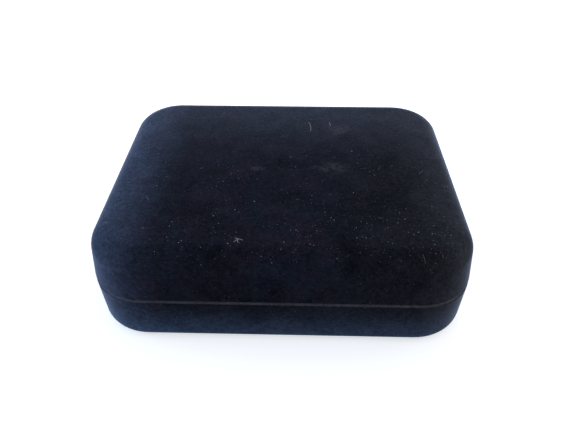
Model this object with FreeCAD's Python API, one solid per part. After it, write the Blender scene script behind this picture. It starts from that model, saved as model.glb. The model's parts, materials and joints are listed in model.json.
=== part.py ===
"""A velvet-covered, snap-shut case for a set of bow drafting instruments.

Two moulded shells, each wrapped in velvet, close on one another and turn on two hinges let into the
back. A flat C spring between the halves pulls the lid shut, or open once it is past half way. The
base holds a fitted tray with a recess for each instrument; the lid holds a satin-covered pad.

Frame: +Z up, the front faces -Y, the hinges are at +Y, and the origin is at the middle of the
underside. All sizes are in millimetres.
"""

import FreeCAD, Part

import math
import os

# Outside of the closed case
CASE_WIDTH = 105.0
CASE_DEPTH = 84.0
BASE_HEIGHT = 15.9          # underside to the middle of the parting gap
LID_HEIGHT = 15.1           # middle of the parting gap to the top
PARTING_GAP = 0.3
PLAN_CORNER_RADIUS = 15.4
LID_EDGE_RADIUS = 6.0
BASE_EDGE_RADIUS = 4.0
LID_DRAFT = 1.6             # how far the lid's walls lean in at the top
BASE_DRAFT = 0.5            # how far the base's walls lean in at the bottom
OPEN_ANGLE = 100.0          # degrees

# Walls, from the outside in
VELVET = 0.8
SHELL_WALL = 1.5
TURNED_IN_VELVET = 0.6      # the flap of velvet that is glued inside the rim
FLAP_DEPTH = 5.0            # how far down the flap reaches
RIM_ROUNDING = 0.7
FRAME_THICKNESS = 0.8
GLUE_GAP = 0.05             # between the flap or the liner and what sits against it

# Hinges, let into the back wall
HINGE_FROM_CORNER = 0.6     # from a hinge's outer end to where the back wall starts to curve
HINGE_LENGTH = 18.0
LID_KNUCKLE = 5.6           # the middle knuckle, on the lid's leaf
KNUCKLE_GAP = 0.2
LEAF_THICKNESS = 0.55
LEAF_HEIGHT = 7.0
PIN_RADIUS = 0.7
PIN_CLEARANCE = 0.05
PIN_STICK_OUT = 0.3
HINGE_CLEARANCE = 0.3       # round the knuckles and the leaves' ends
STOP_MARGIN = 1.0           # degrees left between each back rim and the middle when fully open
RIVET_RADIUS = 0.6
RIVET_HOLE_CLEARANCE = 0.03
RIVET_HEAD_RADIUS = 1.1
RIVET_HEAD_HEIGHT = 0.5
RIVET_SPACING = 10.0
RIVET_DEPTH = 4.6           # from the rim

# Snap spring, a flat strip bent to a C with an eye at each end
SPRING_WIDTH = 12.0
SPRING_THICKNESS = 0.35
SPRING_BULGE = 4.6          # how far the C stands out in front of its eyes
SPRING_PIN_RADIUS = 0.6
SPRING_PIN_CLEARANCE = 0.05
SPRING_PIN_FROM_AXIS = 3.2  # in front of the hinge axis
SPRING_SIDE_GAP = 2.0       # between the strip and the frame's ears
EAR_RADIUS = 1.5
EAR_PIN_CLEARANCE = 0.02
SPRING_ROOM = 0.8           # kept clear in front of and beside the spring

# Card, tray and pad
CARD = 0.8
CARD_CLEARANCE = 0.1
TRAY_BOARD = 1.2
TRAY_CLEARANCE = 0.3
TRAY_BELOW_RIM = 0.85
TRAY_EDGE_ROUNDING = 0.8
HINGE_BAY_CLEARANCE = 0.3   # between the rivet heads and what fills each half
LID_BOARD = 1.0
LID_HOLLOW = 4.4            # free height between the lid's rim and its pad
PAD_CLEARANCE = 0.5
PAD_EDGE_RADIUS = 4.0
PAD_CROWN_RADIUS = 480.0
SATIN = 0.5

# Recesses in the tray, for three bow instruments that lie head to tail, and a lead tube
INSTRUMENT_COUNT = 3
TRAY_END_WALL = 3.2
TRAY_FRONT_WALL = 2.4
DIVIDER = 2.6
HANDLE_LENGTH = 22.0
HANDLE_WIDTH = 8.0
HEAD_RADIUS = 7.4
LEGS_TIP_WIDTH = 8.0
WHEEL_POCKET_LENGTH = 10.0
WHEEL_FROM_HEAD = 27.0      # middle of the wheel pocket, from the middle of the head
LEAD_TUBE_LENGTH = 58.0
LEAD_TUBE_WIDTH = 8.0
FINGER_SCOOP_LENGTH = 16.0
FINGER_SCOOP_DEPTH = 6.0
RECESS_CORNER = 2.0

# Worked out from the above
AXIS_Z = BASE_HEIGHT
KNUCKLE_RADIUS = PIN_RADIUS + PIN_CLEARANCE + LEAF_THICKNESS
SHELL_OUTSIDE = VELVET
SHELL_INSIDE = SHELL_OUTSIDE + SHELL_WALL
FLAP_INSIDE = SHELL_INSIDE + TURNED_IN_VELVET
LEAF_OUTSIDE = FLAP_INSIDE - LEAF_THICKNESS
FRAME_OUTSIDE = FLAP_INSIDE + GLUE_GAP
FRAME_INSIDE = FRAME_OUTSIDE + FRAME_THICKNESS
AXIS_INSET = FLAP_INSIDE - KNUCKLE_RADIUS   # the leaves run straight into their knuckles
AXIS_Y = CASE_DEPTH / 2 - AXIS_INSET
BACK_SLOPE = math.radians(OPEN_ANGLE / 2 + STOP_MARGIN)
HINGE_END = CASE_WIDTH / 2 - PLAN_CORNER_RADIUS - HINGE_FROM_CORNER
HINGE_PLACES = {"left": HINGE_LENGTH / 2 - HINGE_END, "right": HINGE_END - HINGE_LENGTH / 2}

# The spring's eyes are placed so that its pull passes through the hinge axis at half travel
SPRING_HALF_ANGLE = math.radians(90.0 - OPEN_ANGLE / 4)
SPRING_PIN_FROM_PARTING = SPRING_PIN_FROM_AXIS * math.tan(SPRING_HALF_ANGLE)
FRAME_HEIGHT = SPRING_PIN_FROM_PARTING + EAR_RADIUS
EAR_PLACE = SPRING_WIDTH / 2 + SPRING_SIDE_GAP
SPRING_REACH = SPRING_PIN_FROM_AXIS + SPRING_BULGE + SPRING_THICKNESS
SPRING_BAY_INSET = AXIS_INSET + SPRING_REACH + SPRING_ROOM
SPRING_BAY_WIDTH = 2 * (EAR_PLACE + FRAME_THICKNESS + SPRING_ROOM)
HINGE_BAY_WIDTH = 2 * HINGE_END
HINGE_BAY_INSET = FRAME_INSIDE + RIVET_HEAD_HEIGHT + HINGE_BAY_CLEARANCE

BEYOND = 5.0                # how far cutting tools run past what they cut
END_FLAT = 0.02             # the least flat left between the two corners of a round-ended slot
SAME_PLACE = 1e-4           # points closer than this count as one


def vector(x, y, z):
    return FreeCAD.Vector(x, y, z)


def box(low, high):
    """A box between two corners."""
    size = [b - a for a, b in zip(low, high)]
    return Part.makeBox(*size, vector(*low))


def rod(radius, x_from, x_to, y, z):
    """A cylinder along X."""
    return Part.makeCylinder(radius, x_to - x_from, vector(x_from, y, z), vector(1, 0, 0))


def prism_along_x(points, x_from, x_to):
    """An outline of (y, z) points, drawn out along X."""
    corners = [vector(x_from, y, z) for y, z in points]
    face = Part.Face(Part.makePolygon(corners + corners[:1]))
    return face.extrude(vector(x_to - x_from, 0, 0))


def rounded_rectangle(half_x, half_y, radius, z):
    """A closed wire in a level plane, centred on the Z axis, with its corners as arcs."""
    edges = []
    corners = [(1, -1), (1, 1), (-1, 1), (-1, -1)]
    for index, (sign_x, sign_y) in enumerate(corners):
        next_x, next_y = corners[(index + 1) % 4]
        centre = vector(sign_x * (half_x - radius), sign_y * (half_y - radius), z)
        next_centre = vector(next_x * (half_x - radius), next_y * (half_y - radius), z)
        start = math.radians(-90 + 90 * index)
        spokes = [vector(math.cos(a), math.sin(a), 0) * radius
                  for a in (start, start + math.pi / 4, start + math.pi / 2)]
        edges.append(Part.Arc(*[centre + spoke for spoke in spokes]).toShape())
        edges.append(Part.LineSegment(centre + spokes[2], next_centre + spokes[2]).toShape())
    return Part.Wire(edges)


def edges_at(shape, z):
    """The edges of a shape that lie in the level plane at z."""
    return [edge for edge in shape.Edges
            if all(abs(vertex.Z - z) < SAME_PLACE for vertex in edge.Vertexes)
            and abs(edge.CenterOfMass.z - z) < SAME_PLACE]


class Half:
    """The base or the lid: everything in it is placed by its depth from the rim and its inset from
    the outside of the velvet, and follows the walls' lean."""

    def __init__(self, name, direction, height, draft, edge_radius):
        self.name = name
        self.direction = direction
        self.rim = AXIS_Z + direction * PARTING_GAP / 2
        self.height = height - PARTING_GAP / 2
        self.draft = draft
        self.edge_radius = edge_radius
        self.lean = math.degrees(math.atan(draft / self.height))

    def z(self, depth):
        return self.rim + self.direction * depth

    def inset_at(self, inset, depth):
        return inset + self.draft * depth / self.height

    def back(self, inset, depth):
        """Y of the back wall, that far in from the velvet's outside."""
        return CASE_DEPTH / 2 - self.inset_at(inset, depth)

    def outline(self, inset, depth):
        into = self.inset_at(inset, depth)
        return rounded_rectangle(CASE_WIDTH / 2 - into, CASE_DEPTH / 2 - into,
                                 PLAN_CORNER_RADIUS - into, self.z(depth))

    def block(self, inset, near, far):
        """A solid that fills this half from one depth to another."""
        return Part.makeLoft([self.outline(inset, near), self.outline(inset, far)], True, True)

    def rounded_block(self, inset, near):
        """A solid that fills this half down to its floor or top, with that edge rounded."""
        far = self.height - inset
        solid = self.block(inset, near, far)
        return solid.makeFillet(self.edge_radius - inset, edges_at(solid, self.z(far)))

    def ring(self, outside, inside, near, far):
        """A band round the inside of the wall."""
        return self.block(outside, near, far).cut(self.block(inside, near - BEYOND, far + BEYOND))

    def back_relief(self, thickness):
        """What is cut from the back rim, that far below the slope it stops on when open."""
        rise = math.tan(BACK_SLOPE)
        start = AXIS_Z + self.direction * thickness / math.cos(BACK_SLOPE)
        past = AXIS_Z - self.direction * BEYOND
        ahead, behind = AXIS_Y - BEYOND / rise, CASE_DEPTH / 2 + BEYOND
        points = [(y, start + self.direction * rise * (y - AXIS_Y)) for y in (ahead, behind)]
        points += [(behind, past), (ahead, past)]
        return prism_along_x(points, -CASE_WIDTH, CASE_WIDTH)

    def back_slot(self, centre, width, inset, far):
        """A box that clears the back of this half, in to an inset and down to a depth."""
        depths = sorted([self.z(-BEYOND), self.z(far)])
        low_y = self.back(inset, far)
        return box((centre - width / 2, low_y, depths[0]), (centre + width / 2, CASE_DEPTH, depths[1]))


BASE = Half("base", -1, BASE_HEIGHT, BASE_DRAFT, BASE_EDGE_RADIUS)
LID = Half("lid", 1, LID_HEIGHT, LID_DRAFT, LID_EDGE_RADIUS)


def knuckle_room():
    """The round channels that the hinge knuckles turn in."""
    length = HINGE_LENGTH / 2 + HINGE_CLEARANCE + PIN_STICK_OUT
    rods = [rod(KNUCKLE_RADIUS + HINGE_CLEARANCE, x - length, x + length, AXIS_Y, AXIS_Z)
            for x in HINGE_PLACES.values()]
    return rods[0].fuse(rods[1])


def leaf_room(half):
    """The pockets in the back of one half that its two hinge leaves lie in."""
    far = LEAF_HEIGHT + HINGE_CLEARANCE
    width = HINGE_LENGTH + 2 * HINGE_CLEARANCE
    band = half.ring(SHELL_INSIDE, FRAME_OUTSIDE, -BEYOND, far)
    return [band.common(half.back_slot(x, width, HINGE_BAY_INSET, far)) for x in HINGE_PLACES.values()]


def shell(half):
    """The moulded shell of one half."""
    outside = half.rounded_block(SHELL_OUTSIDE, VELVET)
    inside = half.rounded_block(SHELL_INSIDE, VELVET - BEYOND)
    return outside.cut([inside, half.back_relief(VELVET), knuckle_room()])


def covering(half):
    """The velvet of one half: its outside, the roll over the rim and the flap turned in behind it."""
    outside = half.rounded_block(0, 0)
    outside = outside.makeFillet(RIM_ROUNDING, edges_at(outside, half.rim))
    outside = outside.cut(half.back_relief(0))
    flap = half.ring(SHELL_INSIDE, FLAP_INSIDE, VELVET, FLAP_DEPTH)
    filled = half.rounded_block(SHELL_OUTSIDE, VELVET).cut([flap, half.back_relief(VELVET)])
    mouth = half.block(FLAP_INSIDE, -BEYOND, VELVET)
    return outside.cut([filled, mouth, knuckle_room(), *leaf_room(half)])


def spring_pin_place(half):
    """(y, z) of the pin that one eye of the snap spring turns on."""
    return AXIS_Y - SPRING_PIN_FROM_AXIS, AXIS_Z + half.direction * SPRING_PIN_FROM_PARTING


def rivet_places(half):
    """Where the hinge rivets pass through the frame's inner face."""
    for x in HINGE_PLACES.values():
        for side in (-1, 1):
            yield vector(x + side * RIVET_SPACING / 2, half.back(FRAME_INSIDE, RIVET_DEPTH),
                         half.z(RIVET_DEPTH))


def leant(solid, half, place):
    """Moves a solid built along +Y at the origin to a place on the leaning back wall."""
    turn = FreeCAD.Rotation(vector(1, 0, 0), half.direction * half.lean)
    solid.Placement = FreeCAD.Placement(place, turn)
    return solid


def rivet_shanks(half, radius, margin):
    """Rods through the frame and the hinge leaf at each rivet, longer by a margin at each end."""
    length = FRAME_INSIDE - LEAF_OUTSIDE + 2 * margin
    start = vector(0, -margin, 0)
    return [leant(Part.makeCylinder(radius, length, start, vector(0, 1, 0)), half, place)
            for place in rivet_places(half)]


def rivets(half):
    """Four rivets, each with a domed head inside the case."""
    dome_radius = (RIVET_HEAD_RADIUS ** 2 + RIVET_HEAD_HEIGHT ** 2) / (2 * RIVET_HEAD_HEIGHT)
    solids = []
    for place, shank in zip(rivet_places(half), rivet_shanks(half, RIVET_RADIUS, 0)):
        ball = Part.makeSphere(dome_radius, vector(0, dome_radius - RIVET_HEAD_HEIGHT, 0))
        keep = box((-dome_radius, -RIVET_HEAD_HEIGHT, -dome_radius), (dome_radius, 0, dome_radius))
        solids.append(leant(ball.common(keep), half, place).fuse(shank).removeSplitter())
    return Part.makeCompound(solids)


def rim_frame(half):
    """A strip bent round inside the rim, its two ends turned in as ears for the spring's pin."""
    strip = half.ring(FRAME_OUTSIDE, FRAME_INSIDE, 0, FRAME_HEIGHT)
    strip = strip.cut(half.back_slot(0, 2 * EAR_PLACE, FRAME_INSIDE + BEYOND, FRAME_HEIGHT + BEYOND))
    pin_y, pin_z = spring_pin_place(half)
    within = half.block(FRAME_OUTSIDE, 0, FRAME_HEIGHT)
    for side in (-1, 1):
        x_from, x_to = sorted([side * EAR_PLACE, side * (EAR_PLACE + FRAME_THICKNESS)])
        arm = box((x_from, pin_y, pin_z - EAR_RADIUS), (x_to, CASE_DEPTH, pin_z + EAR_RADIUS))
        ear = arm.fuse(rod(EAR_RADIUS, x_from, x_to, pin_y, pin_z))
        strip = strip.fuse(ear.common(within))
    pin_hole = rod(SPRING_PIN_RADIUS + EAR_PIN_CLEARANCE, -CASE_WIDTH / 2, CASE_WIDTH / 2, pin_y, pin_z)
    near_ears = box((-SPRING_BAY_WIDTH, 0, 0), (SPRING_BAY_WIDTH, CASE_DEPTH, BASE_HEIGHT + LID_HEIGHT))
    holes = rivet_shanks(half, RIVET_RADIUS + RIVET_HOLE_CLEARANCE, BEYOND)
    return strip.cut([pin_hole.common(near_ears), knuckle_room(), *holes]).removeSplitter()


def hinge_leaf(half, x):
    """A leaf of sheet metal whose rim edge is rolled into knuckles."""
    end = HINGE_LENGTH / 2
    middle = LID_KNUCKLE / 2
    clear = KNUCKLE_RADIUS + KNUCKLE_GAP
    if half is LID:
        knuckles = [(-middle, middle)]
        gaps = [(-end, -middle), (middle, end)]
    else:
        knuckles = [(-end, -middle - KNUCKLE_GAP), (middle + KNUCKLE_GAP, end)]
        gaps = [(-middle - KNUCKLE_GAP, middle + KNUCKLE_GAP)]
    plate = half.ring(LEAF_OUTSIDE, FLAP_INSIDE, -PARTING_GAP / 2, LEAF_HEIGHT)
    leaf = plate.common(half.back_slot(x, HINGE_LENGTH, HINGE_BAY_INSET, LEAF_HEIGHT))
    barrels = [rod(KNUCKLE_RADIUS, x + a, x + b, AXIS_Y, AXIS_Z) for a, b in knuckles]
    room = [box((x + a, AXIS_Y - clear, AXIS_Z - clear), (x + b, CASE_DEPTH, AXIS_Z + clear))
            for a, b in gaps]
    bore = rod(PIN_RADIUS + PIN_CLEARANCE, x - HINGE_LENGTH, x + HINGE_LENGTH, AXIS_Y, AXIS_Z)
    holes = rivet_shanks(half, RIVET_RADIUS + RIVET_HOLE_CLEARANCE, BEYOND)
    return leaf.fuse(barrels).cut([*room, bore, *holes]).removeSplitter()


def hinge_pin(x):
    reach = HINGE_LENGTH / 2 + PIN_STICK_OUT
    return rod(PIN_RADIUS, x - reach, x + reach, AXIS_Y, AXIS_Z)


def spring_pin(half):
    reach = EAR_PLACE + FRAME_THICKNESS + PIN_STICK_OUT
    return rod(SPRING_PIN_RADIUS, -reach, reach, *spring_pin_place(half))


def snap_spring():
    """A flat C between the two spring pins, its ends curled into eyes."""
    eye_inside = SPRING_PIN_RADIUS + SPRING_PIN_CLEARANCE
    eye_outside = eye_inside + SPRING_THICKNESS
    eye_middle = (eye_inside + eye_outside) / 2
    # The C touches each eye's ring from outside: its centre is level with the parting
    front = SPRING_BULGE - eye_middle
    centre_from_pins = (SPRING_PIN_FROM_PARTING ** 2 - front ** 2) / (2 * front)
    radius = centre_from_pins + SPRING_BULGE
    centre_y = AXIS_Y - SPRING_PIN_FROM_AXIS + centre_from_pins
    half_width = SPRING_WIDTH / 2
    half_strip = SPRING_THICKNESS / 2
    strip = rod(radius + half_strip, -half_width, half_width, centre_y, AXIS_Z)
    strip = strip.cut(rod(radius - half_strip, -half_width, half_width, centre_y, AXIS_Z))
    reach = 2 * radius
    rise = reach * SPRING_PIN_FROM_PARTING / centre_from_pins if centre_from_pins else reach
    front_sector = prism_along_x([(centre_y, AXIS_Z), (centre_y - reach, AXIS_Z + rise),
                                  (centre_y - reach - rise, AXIS_Z),
                                  (centre_y - reach, AXIS_Z - rise)], -half_width, half_width)
    strip = strip.common(front_sector)
    pins = [spring_pin_place(half) for half in (BASE, LID)]
    eyes = [rod(eye_outside, -half_width, half_width, y, z) for y, z in pins]
    bores = [rod(eye_inside, -half_width, half_width, y, z) for y, z in pins]
    return strip.fuse(eyes).cut(bores).removeSplitter()


def liner(half):
    """A strip of card round the inside wall, from the flap to where the shell's edge curves in."""
    curve_starts = half.height - half.edge_radius
    return half.ring(SHELL_INSIDE, FLAP_INSIDE, FLAP_DEPTH, curve_starts).cut(leaf_room(half))


def flat_inset(half):
    """How far in the flat of the shell's floor or top begins."""
    return half.edge_radius + CARD_CLEARANCE


def bays(half):
    """The room that the snap spring and the hinge rivets need in what fills a half."""
    far = half.height + BEYOND
    return [half.back_slot(0, SPRING_BAY_WIDTH, SPRING_BAY_INSET, far),
            half.back_slot(0, HINGE_BAY_WIDTH, HINGE_BAY_INSET, far)]


def base_floor_card():
    floor = BASE.height - SHELL_INSIDE
    return BASE.block(flat_inset(BASE), floor - CARD, floor)


TRAY_INSET = FRAME_INSIDE + TRAY_CLEARANCE
TRAY_FLOOR = BASE.height - SHELL_INSIDE - CARD - TRAY_BOARD   # depth of the recesses' floor
TRAY_TOP = TRAY_BELOW_RIM


def tray_board():
    board = BASE.block(TRAY_INSET, TRAY_FLOOR, TRAY_FLOOR + TRAY_BOARD)
    return board.cut(bays(BASE))


def tray_end():
    """X of the recesses' right-hand ends."""
    return CASE_WIDTH / 2 - BASE.inset_at(TRAY_INSET, TRAY_FLOOR) - TRAY_END_WALL


def lead_tube_row():
    """Y of the middle of the lead tube's recess, ahead of the spring."""
    return BASE.back(SPRING_BAY_INSET, TRAY_FLOOR) - DIVIDER - LEAD_TUBE_WIDTH / 2


def instrument_rows():
    """Y of the middle of each instrument's recess, front to back, and the widest a recess may be."""
    front = -BASE.back(TRAY_INSET, TRAY_FLOOR) + TRAY_FRONT_WALL
    back = lead_tube_row() - LEAD_TUBE_WIDTH / 2 - DIVIDER
    widest = (back - front - DIVIDER * (INSTRUMENT_COUNT - 1)) / INSTRUMENT_COUNT
    rows = [front + widest / 2 + index * (widest + DIVIDER) for index in range(INSTRUMENT_COUNT)]
    return rows, widest


def level_slot(x_from, x_to, y, width, near, far, corner):
    """A rounded slot along X, cut from one depth in the base to another."""
    outline = rounded_rectangle((x_to - x_from) / 2, width / 2, corner, BASE.z(far))
    outline.translate(vector((x_from + x_to) / 2, y, 0))
    return Part.Face(outline).extrude(vector(0, 0, far - near))


def instrument_recess(y, widest, facing):
    """The shape of one bow instrument: handle, round head, tapering legs and adjusting wheel."""
    far, near = TRAY_FLOOR, TRAY_TOP - BEYOND
    end = tray_end()
    head_x = -end + HANDLE_LENGTH
    wheel_x = head_x + WHEEL_FROM_HEAD
    handle = level_slot(-end, head_x, y, HANDLE_WIDTH, near, far, (HANDLE_WIDTH - END_FLAT) / 2)
    head = Part.makeCylinder(HEAD_RADIUS, far - near, vector(head_x, y, BASE.z(far)))
    tip = LEGS_TIP_WIDTH / 2
    corners = [vector(x, y + across, BASE.z(far)) for x, across in
               ((head_x, -HEAD_RADIUS), (end - tip, -tip), (end - tip, tip), (head_x, HEAD_RADIUS))]
    legs = Part.Face(Part.makePolygon(corners + corners[:1])).extrude(vector(0, 0, far - near))
    toe = Part.makeCylinder(tip, far - near, vector(end - tip, y, BASE.z(far)))
    wheel = level_slot(wheel_x - WHEEL_POCKET_LENGTH / 2, wheel_x + WHEEL_POCKET_LENGTH / 2,
                       y, widest, near, far, RECESS_CORNER)
    recess = handle.fuse([head, legs, toe, wheel]).removeSplitter()
    if facing < 0:
        recess = recess.mirror(vector(0, 0, 0), vector(1, 0, 0))
    return recess


def finger_scoop(rows):
    """A shallow trough across the instruments, to lift them out with a finger."""
    half_length = FINGER_SCOOP_LENGTH / 2
    front, back = rows[0] - HANDLE_WIDTH / 2, rows[-1] + HANDLE_WIDTH / 2
    far = TRAY_TOP + FINGER_SCOOP_DEPTH
    return level_slot(-half_length, half_length, (front + back) / 2, back - front,
                      TRAY_TOP - BEYOND, far, RECESS_CORNER)


def tray_form():
    """The fitted tray, with its recesses cut right through to the board."""
    form = BASE.block(TRAY_INSET, TRAY_TOP, TRAY_FLOOR)
    form = form.makeFillet(TRAY_EDGE_ROUNDING, edges_at(form, BASE.z(TRAY_TOP)))
    rows, widest = instrument_rows()
    recesses = [instrument_recess(y, widest, 1 if index % 2 == 0 else -1)
                for index, y in enumerate(rows)]
    half_tube = LEAD_TUBE_LENGTH / 2
    recesses.append(level_slot(-half_tube, half_tube, lead_tube_row(), LEAD_TUBE_WIDTH,
                               TRAY_TOP - BEYOND, TRAY_FLOOR, RECESS_CORNER))
    recesses.append(finger_scoop(rows))
    return form.cut(recesses + bays(BASE)).removeSplitter()


PAD_INSET = FRAME_INSIDE + PAD_CLEARANCE + SATIN
PAD_FAR = LID.height - SHELL_INSIDE - LID_BOARD


def lid_board():
    top = LID.height - SHELL_INSIDE
    return LID.block(flat_inset(LID), PAD_FAR, top).cut(bays(LID))


def crowned_pad(inset, near, edge_radius, crown_radius):
    """A pad under the lid's board, rounded at its lower edge and bellied towards the middle."""
    pad = LID.block(inset, near, PAD_FAR)
    pad = pad.makeFillet(edge_radius, edges_at(pad, LID.z(near)))
    belly = Part.makeSphere(crown_radius, vector(0, 0, LID.z(near) + crown_radius))
    return pad.common(belly)


def lid_pad():
    near = LID_HOLLOW + SATIN
    return crowned_pad(PAD_INSET, near, PAD_EDGE_RADIUS, PAD_CROWN_RADIUS).cut(bays(LID))


def lid_lining():
    outside = crowned_pad(PAD_INSET - SATIN, LID_HOLLOW, PAD_EDGE_RADIUS + SATIN, PAD_CROWN_RADIUS + SATIN)
    inside = crowned_pad(PAD_INSET, LID_HOLLOW + SATIN, PAD_EDGE_RADIUS, PAD_CROWN_RADIUS)
    return outside.cut([inside, *bays(LID)])


def all_pieces():
    """Every piece of the case, by name."""
    pieces = {
        "base_floor_card": base_floor_card(),
        "tray_board": tray_board(),
        "tray_form": tray_form(),
        "lid_board": lid_board(),
        "lid_pad": lid_pad(),
        "lid_lining": lid_lining(),
        "snap_spring": snap_spring(),
    }
    for half in (BASE, LID):
        pieces[f"{half.name}_shell"] = shell(half)
        pieces[f"{half.name}_covering"] = covering(half)
        pieces[f"{half.name}_rim_frame"] = rim_frame(half)
        pieces[f"{half.name}_liner"] = liner(half)
        pieces[f"{half.name}_hinge_rivets"] = rivets(half)
        pieces[f"{half.name}_spring_pin"] = spring_pin(half)
        for side, x in HINGE_PLACES.items():
            pieces[f"{half.name}_hinge_leaf_{side}"] = hinge_leaf(half, x)
    for side, x in HINGE_PLACES.items():
        pieces[f"hinge_pin_{side}"] = hinge_pin(x)
    return pieces


def main():
    os.makedirs("parts", exist_ok=True)
    for name, shape in all_pieces().items():
        solids = shape.Solids
        volume = sum(solid.Volume for solid in solids)
        print(f"{name}: {len(solids)} solid(s), {volume:.1f} mm3, valid {shape.isValid()}")
        solid_shape = solids[0] if len(solids) == 1 else Part.makeCompound(solids)
        solid_shape.exportStep(f"parts/{name}.step")


main()
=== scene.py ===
# %% [markdown]
# # A velvet-covered drafting instrument case
#
# The case is a small snap-shut box. Two moulded halves are wrapped in navy velvet, a gilt frame sits
# inside each rim, the lid is padded with satin and the base holds a fitted tray. The CAD model already
# has every hard piece at its real size, so this lesson only dresses it: it makes the cloth, the pad and
# the tray, gives every piece a finish, and sets the camera and the light.

# %% Load the frame
import json
import math

import bpy
import bmesh
from mathutils import Matrix, Vector


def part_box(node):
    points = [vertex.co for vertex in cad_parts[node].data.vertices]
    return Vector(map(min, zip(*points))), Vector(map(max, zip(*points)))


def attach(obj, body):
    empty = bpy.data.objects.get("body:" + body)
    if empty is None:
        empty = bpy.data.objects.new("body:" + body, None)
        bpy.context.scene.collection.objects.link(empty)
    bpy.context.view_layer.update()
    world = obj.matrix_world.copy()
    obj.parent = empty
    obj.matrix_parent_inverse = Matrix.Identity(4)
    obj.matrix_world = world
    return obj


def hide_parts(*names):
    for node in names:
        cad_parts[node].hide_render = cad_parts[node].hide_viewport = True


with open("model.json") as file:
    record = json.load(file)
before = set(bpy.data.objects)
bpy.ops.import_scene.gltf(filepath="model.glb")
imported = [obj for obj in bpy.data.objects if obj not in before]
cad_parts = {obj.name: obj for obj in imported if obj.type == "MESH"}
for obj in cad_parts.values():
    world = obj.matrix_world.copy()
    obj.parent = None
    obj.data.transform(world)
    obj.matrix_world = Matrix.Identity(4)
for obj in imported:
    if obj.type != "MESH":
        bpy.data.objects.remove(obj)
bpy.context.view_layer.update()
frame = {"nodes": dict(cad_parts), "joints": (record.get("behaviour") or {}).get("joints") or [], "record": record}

MM = 0.001

# %% [markdown]
# ## Sizes
#
# Lengths are in metres, as in the frame, so millimetres are written as a number times MM. The rims, the
# hinge axis and the places of the hinges are read from the CAD pieces. The radii and the lean of the
# walls can't be read from a box, so they are written here again.

# %% Sizes of the case
CASE_WIDTH = 105 * MM
CASE_DEPTH = 84 * MM
PLAN_CORNER = 15.4 * MM
LID_EDGE = 6.0 * MM
BASE_EDGE = 4.0 * MM
LID_DRAFT = 1.6 * MM
BASE_DRAFT = 0.5 * MM
RIM_WIDTH = 2.9 * MM         # from the outside of the velvet to its turned-in flap
FLAP_DEPTH = 5.0 * MM
RIM_ROUNDING = 0.7 * MM
CLOTH = 0.5 * MM             # thickness of the velvet
OPEN_SLOPE = math.radians(51)   # of each back rim: a little over half of the lid's travel

lid_hinge = next(joint for joint in frame["joints"] if joint["name"] == "lid_hinge")
AXIS = Vector(lid_hinge["pos_m"])
LID_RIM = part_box("lid_covering")[0].z
LID_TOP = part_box("lid_covering")[1].z
BASE_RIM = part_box("base_covering")[1].z
SAME_PLACE = 0.01 * MM       # points closer than this are one
print(f"hinge axis at y {AXIS.y / MM:.2f} mm, z {AXIS.z / MM:.2f} mm, top at {LID_TOP / MM:.2f} mm")

# %% [markdown]
# ## Working by operators
#
# Blender's operators act on whatever is selected. These helpers put one object alone in edit mode, pick
# its points, edges or faces by a test, and leave edit mode again, as a hand would.


# %% Helpers for modelling
def alone(piece):
    """Selects one object and nothing else."""
    if bpy.context.mode != "OBJECT":
        bpy.ops.object.mode_set(mode="OBJECT")
    bpy.ops.object.select_all(action="DESELECT")
    piece.select_set(True)
    bpy.context.view_layer.objects.active = piece


def edit(piece, kind):
    """Opens one object in edit mode, with nothing selected, to work on VERT, EDGE or FACE."""
    alone(piece)
    bpy.ops.object.mode_set(mode="EDIT")
    bpy.ops.mesh.select_mode(type=kind)
    bpy.ops.mesh.select_all(action="DESELECT")


def pick(piece, kind, test):
    """In edit mode, selects the points, edges or faces that pass a test."""
    shape = bmesh.from_edit_mesh(piece.data)
    parts = {"VERT": shape.verts, "EDGE": shape.edges, "FACE": shape.faces}[kind]
    for part in parts:
        if test(part):
            part.select_set(True)
    shape.select_flush_mode()
    bmesh.update_edit_mesh(piece.data)


def done(piece):
    """Goes back to object mode and returns the piece."""
    bpy.ops.object.mode_set(mode="OBJECT")
    return piece


def add_modifier(piece, kind, **settings):
    """Adds a modifier, sets it and applies it."""
    alone(piece)
    modifier = piece.modifiers.new(kind.title(), kind)
    for name, value in settings.items():
        setattr(modifier, name, value)
    bpy.ops.object.modifier_apply(modifier=modifier.name)


def add_box(name, low, high):
    """A box between two corners, with its place in its mesh."""
    bpy.ops.object.select_all(action="DESELECT")
    low, high = Vector(low), Vector(high)
    bpy.ops.mesh.primitive_cube_add(size=1, location=(low + high) / 2, scale=high - low)
    piece = bpy.context.active_object
    piece.name = name
    bpy.ops.object.transform_apply(location=True, rotation=True, scale=True)
    return piece


ROD_SIDES = 48


def add_rod(name, radius, start, end):
    """A cylinder from one point to another."""
    bpy.ops.object.select_all(action="DESELECT")
    start, end = Vector(start), Vector(end)
    along = end - start
    turn = along.to_track_quat("Z", "Y").to_euler()
    bpy.ops.mesh.primitive_cylinder_add(vertices=ROD_SIDES, radius=radius, depth=along.length,
                                        location=(start + end) / 2, rotation=turn)
    piece = bpy.context.active_object
    piece.name = name
    bpy.ops.object.transform_apply(location=True, rotation=True, scale=True)
    return piece


def cut(piece, tools):
    """Cuts each tool out of a piece and throws the tools away."""
    for tool in tools:
        add_modifier(piece, "BOOLEAN", object=tool, operation="DIFFERENCE", solver="EXACT")
        bpy.data.objects.remove(tool)


def merge(piece):
    """Joins points that lie on one another and turns every face outwards."""
    edit(piece, "VERT")
    bpy.ops.mesh.select_all(action="SELECT")
    bpy.ops.mesh.remove_doubles(threshold=SAME_PLACE)
    bpy.ops.mesh.normals_make_consistent(inside=False)
    done(piece)


def smooth(piece, angle=40):
    """Shades a piece smooth, apart from edges that turn by more than the angle in degrees."""
    alone(piece)
    bpy.ops.object.shade_smooth_by_angle(angle=math.radians(angle))
    return piece


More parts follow.
